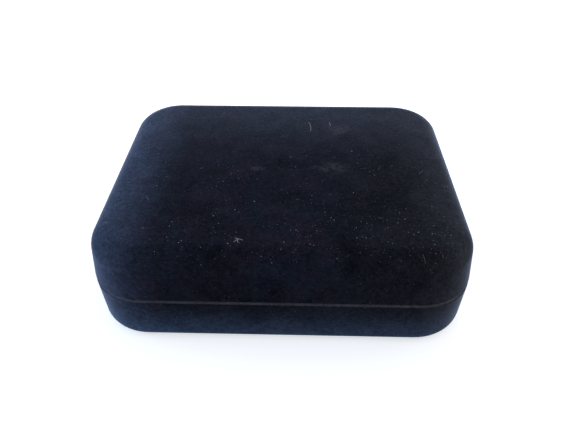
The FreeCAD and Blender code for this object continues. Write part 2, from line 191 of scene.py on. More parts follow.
def count(piece):
    """Prints what a piece is made of."""
    print(f"{piece.name}: {len(piece.data.vertices)} points, {len(piece.data.polygons)} faces")


# %% [markdown]
# ## A rounded plate
#
# Nearly everything in the case has the same outline: a rectangle with round corners. A plane whose four
# corners are bevelled gives it, and one inset with a depth then draws the outline inwards and up at the
# same time, which is just what a leaning wall does.


# %% Rounded plate and leaning wall
CORNER_STEPS = 16


def rounded_plate(name, inset, z, facing):
    """A flat face with round corners, that far in from the outside of the case."""
    bpy.ops.object.select_all(action="DESELECT")
    bpy.ops.mesh.primitive_plane_add(size=1, location=(0, 0, z))
    plate = bpy.context.active_object
    plate.name = name
    plate.scale = (CASE_WIDTH - 2 * inset, CASE_DEPTH - 2 * inset, 1)
    bpy.ops.object.transform_apply(location=True, rotation=True, scale=True)
    edit(plate, "VERT")
    bpy.ops.mesh.select_all(action="SELECT")
    bpy.ops.mesh.bevel(offset=PLAN_CORNER - inset, segments=CORNER_STEPS, affect="VERTICES")
    bpy.ops.mesh.select_all(action="SELECT")
    if facing < 0:
        bpy.ops.mesh.flip_normals()
    return done(plate)


def raise_wall(plate, lean, depth):
    """Draws the plate's face in by the lean while it moves the depth along its normal, in edit mode."""
    edit(plate, "FACE")
    bpy.ops.mesh.select_all(action="SELECT")
    bpy.ops.mesh.inset(thickness=lean, depth=depth, use_even_offset=True)


# %% [markdown]
# ## The velvet
#
# Each half is wrapped in one piece of velvet: over the top, down the walls, round the rim and a little
# way in, where it is glued behind the gilt frame. It could be draped by a simulation, but glued cloth
# follows its shell exactly, so it is modelled as a sheet: a rounded cap and a turned-in rim, joined at
# the outline, bevelled where the cloth rolls over an edge, and given a thickness at the end. At the
# back the rim slopes away from the hinge axis, so that the lid has room to open.


# %% Make a velvet half
EDGE_STEPS = 12
RIM_STEPS = 5
SLOPE_STEPS = 3
SHARP_TURN = 0.5             # radians between two faces of an edge that the cloth rolls over


def back_slope(facing):
    """The way that the sloping back rim of a half faces."""
    return Vector((0, math.sin(OPEN_SLOPE), -facing * math.cos(OPEN_SLOPE)))


def velvet_half(name, rim, facing, height, draft, edge):
    """The velvet of one half; facing is 1 where the half rises from its rim and -1 where it goes down."""
    cap = rounded_plate(name, 0, rim, facing)
    raise_wall(cap, draft, height)
    turn = math.pi / 2 - math.atan(draft / height)
    bpy.ops.mesh.region_to_loop()
    bpy.ops.mesh.bevel(offset=edge * math.tan(turn / 2), segments=EDGE_STEPS, affect="EDGES")
    done(cap)

    rim_ring = rounded_plate(name + "_rim", 0, rim, facing)
    raise_wall(rim_ring, RIM_WIDTH, 0)
    bpy.ops.mesh.inset(thickness=draft * FLAP_DEPTH / height, depth=FLAP_DEPTH, use_even_offset=True)
    bpy.ops.mesh.delete(type="FACE")
    done(rim_ring)

    alone(cap)
    rim_ring.select_set(True)
    bpy.ops.object.join()
    merge(cap)
    edit(cap, "EDGE")
    pick(cap, "EDGE", lambda part: all(abs(v.co.z - rim) < SAME_PLACE for v in part.verts)
         and len(part.link_faces) == 2 and abs(part.calc_face_angle(0)) > SHARP_TURN)
    bpy.ops.mesh.bevel(offset=RIM_ROUNDING, segments=RIM_STEPS, affect="EDGES")
    bpy.ops.mesh.select_all(action="SELECT")
    slope = back_slope(facing)
    bpy.ops.mesh.bisect(plane_co=AXIS, plane_no=slope, use_fill=True, clear_outer=True)
    bpy.ops.mesh.select_all(action="DESELECT")
    straight = CASE_WIDTH - 2 * PLAN_CORNER
    pick(cap, "EDGE", lambda part: part.calc_length() > 0.9 * straight
         and all(abs((v.co - AXIS).dot(slope)) < SAME_PLACE for v in part.verts))
    bpy.ops.mesh.bevel(offset=RIM_ROUNDING / 2, segments=SLOPE_STEPS, affect="EDGES")
    done(cap)
    merge(cap)
    add_modifier(cap, "SOLIDIFY", thickness=CLOTH, offset=-1, use_even_offset=False)
    return cap


# %% Room for the hinges
HINGE_GAP = 0.3 * MM
KNUCKLE_ROOM = 1.6 * MM              # radius, round the hinge axis
LEAF_ROOM = (-2.6 * MM, -0.7 * MM)   # along y from the hinge axis, towards the inside


def hinge_room(half):
    """Tools that clear the velvet round the knuckles and where the leaves of one half's hinges lie."""
    tools = []
    for side in ("left", "right"):
        low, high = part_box(f"hinge_pin_{side}")
        ends = [(x, AXIS.y, AXIS.z) for x in (low.x - HINGE_GAP, high.x + HINGE_GAP)]
        tools.append(add_rod("room", KNUCKLE_ROOM, *ends))
        low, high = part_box(f"{half}_hinge_leaf_{side}")
        tools.append(add_box("room", (low.x - HINGE_GAP, AXIS.y + LEAF_ROOM[0], low.z - HINGE_GAP),
                             (high.x + HINGE_GAP, AXIS.y + LEAF_ROOM[1], high.z + HINGE_GAP)))
    return tools


# %% Wrap both halves
HOLE_SIDES = 8               # a cut may leave open holes with up to this many sides
SLOPE_FACES = 0.99           # a face is on the back slope where its normal agrees this well
lid_velvet = velvet_half("lid_velvet", LID_RIM, 1, LID_TOP - LID_RIM, LID_DRAFT, LID_EDGE)
base_velvet = velvet_half("base_velvet", BASE_RIM, -1, BASE_RIM, BASE_DRAFT, BASE_EDGE)
for half, velvet, facing in (("lid", lid_velvet, 1), ("base", base_velvet, -1)):
    cut(velvet, hinge_room(half))
    edit(velvet, "EDGE")
    bpy.ops.mesh.select_all(action="SELECT")
    bpy.ops.mesh.fill_holes(sides=HOLE_SIDES)
    done(velvet)
    count(smooth(velvet))
    # The wide sloping face would shine in bands if it shared its normals with the roundings beside it.
    edit(velvet, "FACE")
    pick(velvet, "FACE", lambda face: face.normal.dot(back_slope(facing)) > SLOPE_FACES)
    bpy.ops.mesh.faces_shade_flat()
    done(velvet)
    add_modifier(velvet, "WEIGHTED_NORMAL", keep_sharp=True)
    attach(velvet, half)
    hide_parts(f"{half}_covering")

# %% [markdown]
# ## The fitted tray
#
# The base holds a flocked tray with a recess for each instrument: a slim handle, a round head, legs that
# taper to a toe, and a wider pocket for the adjusting wheel. Every other one lies the other way round, so
# that they pack closely. Bevelling the mouths edge by edge would be slow where the shapes cross, so the
# recesses are cut with plain tools, and a fine voxel remesh followed by a smooth then rounds every mouth
# at once, as a coat of flock does. The places come from the openings that the CAD record states.

# %% Sizes of the tray
TRAY_LOW, TRAY_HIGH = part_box("tray_form")
TRAY_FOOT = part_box("tray_board")[1].x
RECESS_END = TRAY_FOOT - 3.2 * MM
HANDLE_LENGTH = 22 * MM
HANDLE_WIDTH = 8 * MM
HEAD_RADIUS = 7.4 * MM
TOE_RADIUS = 4 * MM
WHEEL_POCKET = 10 * MM
DIVIDER = 2.6 * MM
RECESS_CORNER = 2 * MM
LEAD_TUBE = 58 * MM
SCOOP_LENGTH = 16 * MM
SCOOP_DEPTH = 6 * MM
SPRING_BAY = (19.2 * MM, 11.05 * MM)    # width, and depth from the back of the case
HINGE_BAY = (73.0 * MM, 5.05 * MM)
BEYOND = 5 * MM                         # how far a cutting tool reaches past the tray
TRAY_VOXEL = 0.55 * MM
SLOT_STEPS = 8
ROUND_END = 0.49                        # a corner of just under half the width makes an end round

openings = {opening["name"]: opening["box_m"] for opening in frame["record"]["physics"]["openings"]}


def opening_middle(name):
    low, high = openings[name]
    return (Vector(low) + Vector(high)) / 2


ROWS = [opening_middle(f"{row}_instrument_recess").y for row in ("front", "middle", "rear")]
WIDEST = ROWS[1] - ROWS[0] - DIVIDER
print("instrument rows at y", [round(row / MM, 2) for row in ROWS], "mm")


# %% Tools that cut the recesses
def add_slot(x_ends, y_middle, width, z_low, corner):
    """A tall box with rounded upright edges, open upwards past the tray."""
    slot = add_box("slot", (min(x_ends), y_middle - width / 2, z_low),
                   (max(x_ends), y_middle + width / 2, TRAY_HIGH.z + BEYOND))
    edit(slot, "EDGE")
    pick(slot, "EDGE", lambda edge: abs(edge.verts[0].co.z - edge.verts[1].co.z) > BEYOND)
    bpy.ops.mesh.bevel(offset=corner, segments=SLOT_STEPS, affect="EDGES")
    return done(slot)


def add_legs(head_x, toe_x, y, z_low):
    """The tapering room of an instrument's legs, from its head to its toe."""
    legs = add_box("legs", (min(head_x, toe_x), y - HEAD_RADIUS, z_low),
                   (max(head_x, toe_x), y + HEAD_RADIUS, TRAY_HIGH.z + BEYOND))
    edit(legs, "VERT")
    pick(legs, "VERT", lambda corner: abs(corner.co.x - toe_x) < SAME_PLACE)
    bpy.ops.transform.resize(value=(1, TOE_RADIUS / HEAD_RADIUS, 1), center_override=(toe_x, y, z_low))
    return done(legs)


def instrument_tools(y, facing):
    """The recess of one instrument; facing is 1 or -1, for the end that its toe points to."""
    z_low, z_high = TRAY_LOW.z - BEYOND, TRAY_HIGH.z + BEYOND
    handle_x = -RECESS_END * facing
    head_x = (-RECESS_END + HANDLE_LENGTH) * facing
    toe_x = (RECESS_END - TOE_RADIUS) * facing
    wheel_x = opening_middle("front_wheel_recess").x * facing
    half_wheel = WHEEL_POCKET / 2
    return [
        add_slot((handle_x, head_x), y, HANDLE_WIDTH, z_low, ROUND_END * HANDLE_WIDTH),
        add_rod("head", HEAD_RADIUS, (head_x, y, z_low), (head_x, y, z_high)),
        add_legs(head_x, toe_x, y, z_low),
        add_rod("toe", TOE_RADIUS, (toe_x, y, z_low), (toe_x, y, z_high)),
        add_slot((wheel_x - half_wheel, wheel_x + half_wheel), y, WIDEST, z_low, RECESS_CORNER),
    ]


def bay_tools(z_low, z_high, spare=0):
    """Room at the back for the snap spring and for the hinges' rivets."""
    back = CASE_DEPTH / 2
    tools = []
    for width, depth in (SPRING_BAY, HINGE_BAY):
        side = width / 2 + spare
        tools.append(add_box("bay", (-side, back - depth - spare, z_low), (side, back, z_high)))
    return tools


# %% Cut the tray and soften it
def close(piece):
    """Fills the open edge of a shell."""
    edit(piece, "EDGE")
    bpy.ops.mesh.select_non_manifold(extend=False)
    bpy.ops.mesh.edge_face_add()
    done(piece)
    merge(piece)


tray = rounded_plate("flocked_tray", CASE_WIDTH / 2 - TRAY_HIGH.x, TRAY_HIGH.z, -1)
raise_wall(tray, TRAY_HIGH.x - TRAY_FOOT, TRAY_HIGH.z - TRAY_LOW.z)
done(tray)
close(tray)
for index, row in enumerate(ROWS):
    cut(tray, instrument_tools(row, 1 if index % 2 == 0 else -1))
lead_y = opening_middle("lead_tube_recess").y
cut(tray, [add_slot((-LEAD_TUBE / 2, LEAD_TUBE / 2), lead_y, HANDLE_WIDTH,
                    TRAY_LOW.z - BEYOND, RECESS_CORNER)])
cut(tray, [add_slot((-SCOOP_LENGTH / 2, SCOOP_LENGTH / 2), (ROWS[0] + ROWS[-1]) / 2,
                    ROWS[-1] - ROWS[0] + HANDLE_WIDTH, TRAY_HIGH.z - SCOOP_DEPTH, RECESS_CORNER)])
cut(tray, bay_tools(TRAY_LOW.z - BEYOND, TRAY_HIGH.z + BEYOND))
add_modifier(tray, "REMESH", mode="VOXEL", voxel_size=TRAY_VOXEL)
add_modifier(tray, "SMOOTH", factor=0.5, iterations=5)
count(smooth(tray, 60))
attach(tray, "base")
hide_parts("tray_form")

# %% [markdown]
# ## The satin pad
#
# The lid is lined with a pad: wadding on a card, with satin drawn over it and tucked in round the edge. A
# crowned block would look like plastic, so the cloth solver puffs it up: a thinner block is remeshed into
# even squares, its tucked edge is pinned, the satin is given a little more length than it needs, and
# pressure fills it. The spare length puckers along the edge as real gathers do. The solver is tuned for
# things about a metre wide, so the pad is ten times larger while it runs.

# %% Pad block
PAD_LOW, PAD_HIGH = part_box("lid_lining")
PAD_SLACK = 0.5 * MM          # the block stands this far inside the finished pad
PAD_PUFF = 3.4 * MM           # how far the middle swells
PAD_EDGE = 2.6 * MM
PAD_LEAN = 0.3 * MM
PAD_EDGE_STEPS = 5
PAD_VOXEL = 1.1 * MM
TUCKED = 1.6 * MM             # height of the pinned edge, next to the card
PUFF_FRAMES = 22
PUFF_SCALE = 10
PUFF_MOST = 4.0 * MM          # the furthest that any point may move

pad = rounded_plate("satin_pad", CASE_WIDTH / 2 - PAD_HIGH.x + PAD_SLACK, PAD_HIGH.z, -1)
raise_wall(pad, PAD_LEAN, PAD_HIGH.z - PAD_LOW.z - PAD_PUFF)
bpy.ops.mesh.region_to_loop()
bpy.ops.mesh.bevel(offset=PAD_EDGE, segments=PAD_EDGE_STEPS, affect="EDGES")
done(pad)
close(pad)
cut(pad, bay_tools(PAD_LOW.z - BEYOND, PAD_HIGH.z + BEYOND, PAD_SLACK))
add_modifier(pad, "REMESH", mode="VOXEL", voxel_size=PAD_VOXEL)
count(pad)


# %% Puff the pad
SATIN = {
    "quality": 6,
    "mass": 0.2,
    "tension_stiffness": 12,
    "compression_stiffness": 12,
    "shear_stiffness": 4,
    "bending_stiffness": 0.06,
    "shrink_min": -0.10,          # a negative shrink gives the satin spare length
    "use_pressure": True,
    "uniform_pressure_force": 5,
}


def pinned(place):
    """True along the tucked edge and round the room of the spring."""
    width, depth = SPRING_BAY
    near = 2 * PAD_SLACK + PAD_VOXEL
    beside_spring = abs(place.x) < width / 2 + near and place.y > CASE_DEPTH / 2 - depth - near
    return place.z > PAD_HIGH.z - TUCKED or beside_spring


def puff(piece):
    """Runs the cloth solver on a piece and keeps the result in its mesh."""
    start = [vertex.co.copy() for vertex in piece.data.vertices]
    group = piece.vertex_groups.new(name="tucked")
    group.add([index for index, place in enumerate(start) if pinned(place)], 1.0, "REPLACE")
    alone(piece)
    piece.scale = (PUFF_SCALE,) * 3
    bpy.ops.object.transform_apply(location=False, rotation=False, scale=True)
    cloth = piece.modifiers.new("Puff", "CLOTH")
    for name, value in SATIN.items():
        setattr(cloth.settings, name, value)
    cloth.settings.vertex_group_mass = group.name
    cloth.settings.effector_weights.gravity = 0
    for number in range(1, PUFF_FRAMES + 1):
        bpy.context.scene.frame_set(number)
    bpy.ops.object.modifier_apply(modifier=cloth.name)
    bpy.context.scene.frame_set(1)
    piece.scale = (1 / PUFF_SCALE,) * 3
    bpy.ops.object.transform_apply(location=False, rotation=False, scale=True)
    furthest = 0
    for vertex, place in zip(piece.data.vertices, start):
        step = vertex.co - place
        furthest = max(furthest, step.length)
        if step.length > PUFF_MOST:
            vertex.co = place + step * (PUFF_MOST / step.length)
    piece.vertex_groups.clear()
    print(f"the pad's furthest point moved {furthest / MM:.2f} mm")


puff(pad)
add_modifier(pad, "SUBSURF", levels=1, render_levels=1)
count(smooth(pad, 80))
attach(pad, "lid")
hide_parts("lid_lining", "lid_pad")

# %% [markdown]
# ## Shader arithmetic
#
# A finish is worked out from the place on the surface. Written as nodes that is hard to read, so one
# small class stands for a socket: adding or multiplying two of them adds the Math node, and one method
# makes any other node.


# %% A socket that can be used in sums
class Wire:
    """One output socket of a material; sums of wires add Math nodes."""

    def __init__(self, tree, socket=None):
        self.tree = tree
        self.socket = socket

    def node(self, kind, settings=None, sockets=None, output=0):
        """Adds a node of a type, sets it, then sets or links its sockets; returns one of its outputs."""
        made = self.tree.nodes.new("ShaderNode" + kind)
        for name, value in (settings or {}).items():
            setattr(made, name, value)
        for name, value in (sockets or {}).items():
            if isinstance(value, Wire):
                self.tree.links.new(value.socket, made.inputs[name])
            else:
                made.inputs[name].default_value = value
        return Wire(self.tree, made.outputs[output])

    def math(self, operation, *values):
        """A Math node on this wire and the values."""
        sockets = dict(enumerate((self, *values)))
        return self.node("Math", {"operation": operation}, sockets)

    def __add__(self, other):
        return self.math("ADD", other)

    def __mul__(self, other):
        return self.math("MULTIPLY", other)

    def __sub__(self, other):
        return self.math("SUBTRACT", other)

    def __rsub__(self, other):
        return self.node("Math", {"operation": "SUBTRACT"}, {0: other, 1: self})

    def __lt__(self, other):
        return self.math("LESS_THAN", other)

    def __gt__(self, other):
        return self.math("GREATER_THAN", other)

    __radd__ = __add__
    __rmul__ = __mul__

    def step(self, low, high):
        """0 below low, 1 above high, and smooth between them."""
        return self.node("MapRange", {"interpolation_type": "SMOOTHSTEP"},
                         {"Value": self, "From Min": low, "From Max": high})

    def mix(self, color_a, color_b):
        """Color a where this wire is 0, color b where it is 1."""
        ends = [c if isinstance(c, Wire) else (*c, 1) for c in (color_a, color_b)]
        return self.node("Mix", {"data_type": "RGBA"}, {0: self, 6: ends[0], 7: ends[1]}, output=2)

    def noise(self, scale, detail=2.0, roughness=0.5, distortion=0.0):
        """A noise texture at this place, from 0 to 1."""
        return self.node("TexNoise", {}, {"Vector": self, "Scale": scale, "Detail": detail,
                                          "Roughness": roughness, "Distortion": distortion})

    def axis(self, index):
        """The x, y or z of a place, for 0, 1 or 2."""
        return self.node("SeparateXYZ", {}, {0: self}, output=index)

    def stretched(self, x, y, z):
        """The same place, with each direction scaled."""
        return self.node("Mapping", {}, {"Vector": self, "Scale": (x, y, z)})


def new_finish(name):
    """A material with a Principled shader; returns it, the place in millimetres and the shader."""
    material = bpy.data.materials.new(name)
    material.use_nodes = True
    tree = material.node_tree
    shader = tree.nodes["Principled BSDF"]
    place = Wire(tree).node("TexCoord", output=3).stretched(1 / MM, 1 / MM, 1 / MM)
    return material, place, shader


def set_shader(shader, **values):
    """Sets or links the shader's sockets; base_color stands for Base Color."""
    for name, value in values.items():
        socket = shader.inputs[name.replace("_", " ").title().replace("Ior", "IOR")]
        if isinstance(value, Wire):
            value.tree.links.new(value.socket, socket)
        elif socket.type == "RGBA":
            socket.default_value = (*value, 1)
        else:
            socket.default_value = value


def bump(height, strength, distance):
    """A normal that is roughened by a height."""
    return height.node("Bump", {}, {"Strength": strength, "Distance": distance, "Height": height})


def dress(piece, material):
    """Gives a piece one material and no other."""
    piece.data.materials.clear()
    piece.data.materials.append(material)


# %% [markdown]
# ## Velvet finish
#
# Velvet is dark seen straight on, because light goes down between the fibres, and it glows where it is
# seen edge-on, because their tips catch the light. The shader's sheen does that. The pile gives a fine
# grain and the nap lies in patches. Light is also painted into the colour: a lighter glow towards the
# back and the sides of the lid and at the foot of the front, and a warmer cast on the right half. The
# outer edge of the parting is worn pale, with a painted highlight where the rim catches the light, and
# lint has settled on the lid. Lint could be hundreds of small meshes, but it is only colour at this size,
# so a cell texture draws it: each cell holds one bit at its own point, and a random number per cell says
# how large it is. Places and lengths in a finish are in millimetres.


# %% Lint
SPECK_BLUR = 0.1
HAIR_BEND = 0.05             # how far a hair bends aside, per square millimetre of its reach
HAIR_WIDTH = 0.13


def cell_point(place, scale):
    """The jittered point of the cell that a place is in, and a random number for that cell."""
    point = place.node("TexVoronoi", {}, {"Vector": place, "Scale": scale}, output=2)
    return point, point.node("TexWhiteNoise", {"noise_dimensions": "3D"}, {"Vector": point})


def specks(place, scale, radius, share):
    """Round bits of lint of up to that radius, in that share of the cells."""
    point, chance = cell_point(place, scale)
    distance = place.node("VectorMath", {"operation": "DISTANCE"}, {0: place, 1: point}, output=1)
    size = chance.step(1 - share, 1.0) * radius
    return (size - distance).step(0.0, SPECK_BLUR)


def hair(offset, angle, reach, width):
    """One bent hair through the middle, turned by an angle."""
    turned = offset.node("VectorRotate", {"rotation_type": "Z_AXIS"}, {"Vector": offset, "Angle": angle})
    along, across = turned.axis(0), turned.axis(1)
    bent = across + HAIR_BEND * along * along
    return (along.math("ABSOLUTE") < reach) * (1 - bent.math("ABSOLUTE").step(0.0, width))


def hairs(place, scale, length, width, share):
    """Short hairs that lie each its own way on the lid's top, in that share of the cells."""
    flat = place.stretched(1, 1, 0)
    point, chance = cell_point(flat, scale)
    offset = flat.node("VectorMath", {"operation": "SUBTRACT"}, {0: flat, 1: point})
    reach = length / 2 * (chance * 77).math("FRACT")      # a large factor makes a new random number
    return (chance > 1 - share) * hair(offset, chance * 500, reach, width)


def beside(place, x, y):
    """The way from a point of the lid's top to the place."""
    flat = place.stretched(1, 1, 0)
    return flat.node("VectorMath", {"operation": "SUBTRACT"}, {0: flat, 1: (x, y, 0)})


# %% Where lint lies
LONG_HAIRS = [               # place, angle and half length
    (8.4, 22.7, 1.47, 2.9),
    (14.9, 24.4, 1.40, 1.2),
    (-10.6, -33.2, 0.35, 1.1),
    (-11.3, -33.8, -0.7, 0.8),
    (-10.9, -33.9, 1.2, 0.7),
]
SMUDGES = [                  # place, radius and strength
    (-8.0, -2.0, 2.3, 0.34),
    (14.5, -1.2, 5.5, 0.13),
    (18.0, 21.0, 6.0, 0.11),
]


def lint_share(place, grain, blotches):
    """How much of a place lint covers: specks nearly everywhere, hairs and smudges on the lid's top."""
    lid_top = LID_TOP / MM
    top = place.axis(2).step(lid_top - 3.5, lid_top - 0.5)
    front = 1 - place.axis(1).step(-30, 25)
    dusty = (0.35 + 0.65 * front) * place.noise(0.09, 2, 0.5).step(0.30, 0.6) * (0.3 + 0.7 * top)
    fine = specks(place, 1.1, 0.18, 0.45) + 0.45 * specks(place, 1.9, 0.15, 0.50)
    coarse = 0.9 * specks(place, 0.42, 0.24, 0.16) + 0.35 * hairs(place, 0.14, 2.6, 0.10, 0.12)
    for x, y, angle, reach in LONG_HAIRS:
        coarse = coarse + 0.85 * hair(beside(place, x, y), angle, reach, HAIR_WIDTH)
    for x, y, radius, strength in SMUDGES:
        away = beside(place, x, y).stretched(0.65, 1.2, 1)
        distance = away.node("VectorMath", {"operation": "LENGTH"}, {0: away}, output=1)
        coarse = coarse + strength * (1 - distance.step(0.0, radius)) * blotches.step(0.35, 0.6) * grain
    return 0.65 * (fine * dusty + coarse * top)


# %% Where the pile is worn, with a painted highlight
def outline_inset(place):
    """How many millimetres a place is in from the case's rounded outline, seen from above."""
    beyond = [place.axis(index).math("ABSOLUTE") - (size / 2 - PLAN_CORNER) / MM
              for index, size in enumerate((CASE_WIDTH, CASE_DEPTH))]
    outer = [side.math("MAXIMUM", 0.0) for side in beyond]
    round_corner = (outer[0] * outer[0] + outer[1] * outer[1]).math("SQRT")
    inner = beyond[0].math("MAXIMUM", beyond[1]).math("MINIMUM", 0.0)
    return PLAN_CORNER / MM - round_corner - inner


def wear_and_highlight_share(place, grain):
    """How worn the pile is along the outer edge of the parting, and a painted highlight where the rim catches the
    light.
    """
    from_parting = (place.axis(2) - AXIS.z / MM).math("ABSOLUTE")
    patchy = 0.9 * place.noise(0.35, 3, 0.6) + 0.7 * grain
    # The pale line is worn pile together with a painted highlight of light caught by the rim.
    return (1 - from_parting.step(0.05, 0.62)) * patchy * (1 - outline_inset(place).step(0.5, 1.6))


# %% Colour of the nap, with painted light
DEEP_NAVY = (0.0012, 0.0012, 0.0022)
BLUE_NAVY = (0.0125, 0.0160, 0.0265)
VIOLET_NAVY = (0.0162, 0.0148, 0.0258)
# Painted warm light on the right half of the case.
WARM_LIGHT_NAVY = (0.0180, 0.0172, 0.0225)
# Painted light: lighter glows for the back, the right, the left and the foot of the front, where light grazes the
# pile or comes up from the floor.
REAR_PAINTED_GLOW = (0.038, 0.042, 0.062)
RIGHT_PAINTED_GLOW = (0.040, 0.043, 0.055)
LEFT_PAINTED_GLOW = (0.070, 0.098, 0.176)
FOOT_PAINTED_GLOW_LEFT = (0.062, 0.112, 0.205)
FOOT_PAINTED_GLOW = (0.052, 0.082, 0.148)
# Worn pile with a painted highlight, along the parting's outer edge.
WORN_AND_HIGHLIGHTED_PILE = (0.108, 0.110, 0.124)
LINT_GRAY = (0.42, 0.42, 0.43)


def nap_and_painted_light(place, grain, blotches):
    """Navy in patches, with painted light: a warmer cast on the right half and a lighter glow at the back, the
    sides and the foot of the front.
    """
    across, depth, height = (place.axis(index) for index in range(3))
    side, rear_wall = CASE_WIDTH / 2 / MM, CASE_DEPTH / 2 / MM
    nap = place.noise(0.05, 3, 0.6, 0.8)
    tone = (0.1 + 0.9 * nap + 0.9 * blotches) * (0.5 + grain)
    hue = place.noise(0.11, 2, 0.5).step(0.38, 0.62)
    # Random hue on the left, and painted warm light that turns the right half warmer.
    hue_and_warm_light = across.step(0, side - 2.5).mix(hue.mix(BLUE_NAVY, VIOLET_NAVY), WARM_LIGHT_NAVY)
    navy = tone.step(0.25, 1.75).mix(DEEP_NAVY, hue_and_warm_light)

    # Painted glow of light along the left, right and rear edges, and at the foot of the front, bluer at its left.
    left = (1 - across.step(-side - 5.5, 23.5 - side)) * (0.2 + 0.8 * across.step(-side - 1, 5.5 - side))
    right = across.step(side - 20.5, side + 3.5) * (1 - 0.4 * across.step(side - 5.5, side + 1))
    rear = depth.step(-2, rear_wall + 8) * (1 - 0.75 * depth.step(rear_wall - 5, rear_wall - 1))
    foot = (1 - height.step(-5, 16)) * (1 - 0.8 * depth.step(-30, 15))
    foot_painted_glow = across.step(-45, -5).mix(FOOT_PAINTED_GLOW_LEFT, FOOT_PAINTED_GLOW)
    mottled = (0.2 + grain) * (0.4 + 1.2 * blotches)
    for glow_mask, color in ((rear, REAR_PAINTED_GLOW), (right, RIGHT_PAINTED_GLOW), (left, LEFT_PAINTED_GLOW), (foot, foot_painted_glow)):
        navy = (glow_mask * mottled).mix(navy, color)
    return navy


# %% Velvet finish
def velvet_finish():
    material, place, shader = new_finish("navy_velvet")
    blotches = place.noise(0.16, 4, 0.62, 0.4)
    tufts = place.noise(0.9, 3, 0.7)
    pile = place.noise(2.4, 2, 0.7)
    grain = 1.2 * tufts + 1.2 * pile - 0.7
    # The nap colour and the pale parting line carry painted light as well as the cloth's own tone.
    cloth = wear_and_highlight_share(place, grain).mix(nap_and_painted_light(place, grain, blotches), WORN_AND_HIGHLIGHTED_PILE)
    cloth = lint_share(place, grain, blotches).mix(cloth, LINT_GRAY)
    set_shader(shader, base_color=cloth, roughness=0.95, specular_ior_level=0.0,
               sheen_weight=0.78, sheen_roughness=0.28, sheen_tint=(0.48, 0.56, 0.76),
               normal=bump(pile + tufts, 0.30, 0.08 * MM))
    return material


navy_velvet = velvet_finish()
for piece in (lid_velvet, base_velvet):
    dress(piece, navy_velvet)
print("velvet on", lid_velvet.name, base_velvet.name)

# %% [markdown]
# ## Finishes inside the case
#
# What shows when the lid is open: flock on the tray, ivory satin on the pad, gilt brass on the frames and
# hinges, tempered steel on the spring and pins, grey-brown card, and the dark moulding of the shells. Each
# finish has the marks that its making leaves: rolling lines along a brass strip, warp threads in satin,
# fibres in card.


# %% Flock and satin
def flock_finish():
    material, place, shader = new_finish("navy_flock")
    patches = place.noise(0.12, 3, 0.6, 0.4)
    fibres = place.noise(3.2, 3, 0.75).step(0.27, 0.73)
    tone = (0.35 + 0.7 * patches) * (0.5 + fibres)
    navy = tone.step(0.20, 1.30).mix((0.006, 0.008, 0.020), (0.026, 0.032, 0.066))
    set_shader(shader, base_color=navy, roughness=0.95, specular_ior_level=0.1,
               sheen_weight=0.35, sheen_roughness=0.35, sheen_tint=(0.45, 0.58, 0.90),
               normal=bump(fibres + 0.4 * patches, 0.6, 0.15 * MM))
    return material


def satin_finish():
    material, place, shader = new_finish("ivory_satin")
    warp = place.stretched(0.35, 9.0, 1.0).noise(1.0, 3, 0.6)
    weft = place.stretched(7.0, 0.5, 1.0).noise(1.0, 2, 0.5)
    aged = place.noise(0.035, 3, 0.6, 0.5)
    ivory = aged.step(0.3, 0.75).mix((0.76, 0.68, 0.53), (0.66, 0.565, 0.41))
    threads = (warp * 0.7 + weft * 0.3).step(0.3, 0.75)
    cloth = (threads * 0.35).mix(ivory, (0.85, 0.79, 0.66))
    set_shader(shader, base_color=cloth, roughness=0.30 + 0.16 * warp, specular_ior_level=0.55,
               anisotropic=0.55, sheen_weight=0.12, sheen_roughness=0.4, sheen_tint=(1.0, 0.97, 0.90),
               normal=bump(warp + 0.5 * weft, 0.18, 0.05 * MM))
    return material


# %% Metals
def gilt_finish():
    material, place, shader = new_finish("gilt_brass")
    rolled = place.stretched(0.12, 0.12, 9.0).noise(1.0, 3, 0.6)
    tarnish = place.noise(0.22, 4, 0.65, 0.5)
    bright = tarnish.step(0.48, 0.80).mix((0.80, 0.585, 0.255), (0.47, 0.31, 0.125))
    gold = (rolled.step(0.35, 0.75) * 0.35).mix(bright, (0.88, 0.69, 0.36))
    set_shader(shader, base_color=gold, metallic=1.0,
               roughness=0.20 + 0.16 * rolled + 0.18 * tarnish.step(0.45, 0.8),
               normal=bump(rolled, 0.12, 0.03 * MM))
    return material


def steel_finish():
    material, place, shader = new_finish("tempered_steel")
    drawn = place.stretched(0.2, 6.0, 6.0).noise(1.0, 3, 0.6)
    oiled = place.noise(0.4, 3, 0.6, 0.3)
    gray = oiled.step(0.35, 0.75).mix((0.47, 0.48, 0.50), (0.38, 0.385, 0.41))
    set_shader(shader, base_color=gray, metallic=1.0, roughness=0.24 + 0.2 * drawn,
               normal=bump(drawn, 0.12, 0.03 * MM))
    return material


# %% Card and moulding
def card_finish():
    material, place, shader = new_finish("gray_brown_card")
    pulp = place.noise(1.4, 4, 0.7, 0.3)
    fibres = place.stretched(0.6, 2.4, 2.4).noise(1.8, 2, 0.6, 1.2)
    aged = place.noise(0.06, 2, 0.5)
    brown = (0.6 * pulp + 0.4 * aged).step(0.3, 0.7).mix((0.50, 0.42, 0.315), (0.395, 0.32, 0.23))
    card = (fibres.step(0.62, 0.75) * 0.5).mix(brown, (0.62, 0.55, 0.44))
    set_shader(shader, base_color=card, roughness=0.88, specular_ior_level=0.25,
               normal=bump(pulp + 0.5 * fibres, 0.3, 0.06 * MM))
    return material


def shell_finish():
    material, place, shader = new_finish("dark_moulding")
    grain = place.noise(2.2, 3, 0.6)
    flow = place.stretched(0.3, 1.0, 0.6).noise(0.12, 2, 0.5, 0.6)
    dark = (0.5 * grain + 0.5 * flow).step(0.35, 0.7).mix((0.022, 0.022, 0.025), (0.042, 0.042, 0.046))
    set_shader(shader, base_color=dark, roughness=0.42 + 0.2 * grain, normal=bump(grain, 0.2, 0.05 * MM))
    return material


